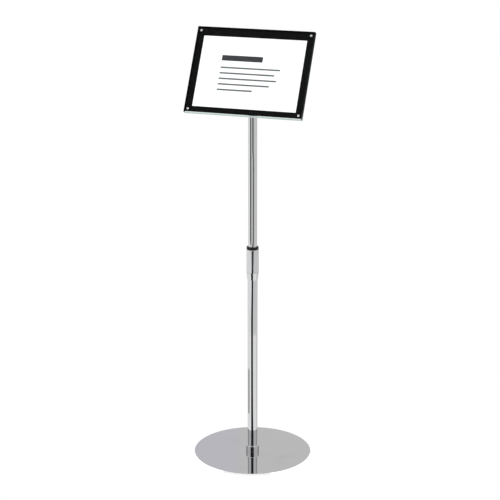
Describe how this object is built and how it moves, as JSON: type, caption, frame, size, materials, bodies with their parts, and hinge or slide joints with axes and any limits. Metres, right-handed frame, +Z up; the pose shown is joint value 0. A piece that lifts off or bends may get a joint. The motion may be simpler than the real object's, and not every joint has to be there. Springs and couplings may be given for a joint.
{
  "type": "sign stand",
  "caption": "Free-standing telescopic sign stand: round mirror-finish base, chrome twist-lock pole and a tilting clear magnetic holder with a black border for a landscape print.",
  "frame": {"origin": "on the pole axis, in the plane the foot pads rest on", "axes": "+Z up along the pole, the sign faces -Y, +X to the right as seen from the front, facing the sign"},
  "size_m": [0.34, 0.34, 1.2426],
  "materials": {
    "chrome": "polished",
    "rubber": "matt",
    "steel": "zinc plated",
    "black_steel": "black oxide",
    "black_nylon": "moulded",
    "pale_nylon": "moulded",
    "black_paint": "powder coat",
    "brass": "turned",
    "clear_acrylic": "clear, sawn lower edge",
    "magnet": "nickel plated",
    "black_film": "satin",
    "white_card": "printed card",
    "black_plastic": "moulded"
  },
  "bodies": {
    "stand": {"base_plate": "chrome", "foot_pads": "rubber", "base_bolt": "steel", "tube_plug": "steel", "base_flange": "chrome", "lower_tube": "chrome", "lock_ferrule": "chrome"},
    "twist_sleeve": {"lock_sleeve": "chrome"},
    "collet": {"lock_collet": "black_nylon"},
    "pole": {"upper_tube": "chrome", "tube_bush": "black_nylon", "head_socket": "chrome", "head_screws": "black_steel"},
    "head": {"tilt_bracket": "black_paint", "friction_washers": "pale_nylon", "pivot_bolt": "steel", "knob_washer": "steel", "bracket_screws": "steel", "sheet_inserts": "brass", "rear_sheet": "clear_acrylic", "rear_magnets": "magnet", "backing_film": "black_film"},
    "print": {"print_card": "white_card"},
    "front": {"front_sheet": "clear_acrylic", "front_magnets": "magnet"},
    "knob": {"tilt_knob": "black_plastic", "knob_insert": "brass"}
  },
  "joints": [
    {"name": "sleeve_twist", "type": "hinge", "parent": "stand", "child": "twist_sleeve", "pos_m": [0, 0, 0.6], "axis": [0, 0, 1], "range_deg": [0, 180]},
    {"name": "pole_swivel", "type": "hinge", "parent": "stand", "child": "collet", "pos_m": [0, 0, 0.6], "axis": [0, 0, 1], "continuous": true},
    {"name": "pole_slide", "type": "slide", "parent": "collet", "child": "pole", "axis": [0, 0, 1], "range_m": [-0.35, 0.1]},
    {"name": "panel_tilt", "type": "hinge", "parent": "pole", "child": "head", "pos_m": [0, 0, 1.1152], "axis": [-1, 0, 0], "range_deg": [-29, 60]},
    {"name": "print_draw", "type": "slide", "parent": "head", "child": "print", "axis": [0, 0.4909, 0.8712], "range_m": [0, 0.22]},
    {"name": "front_lift", "type": "slide", "parent": "head", "child": "front", "axis": [0, -0.8712, 0.4909], "range_m": [0, 0.05]},
    {"name": "knob_turn", "type": "hinge", "parent": "head", "child": "knob", "pos_m": [0, 0, 1.1152], "axis": [1, 0, 0], "range_deg": [0, 180]}
  ]
}
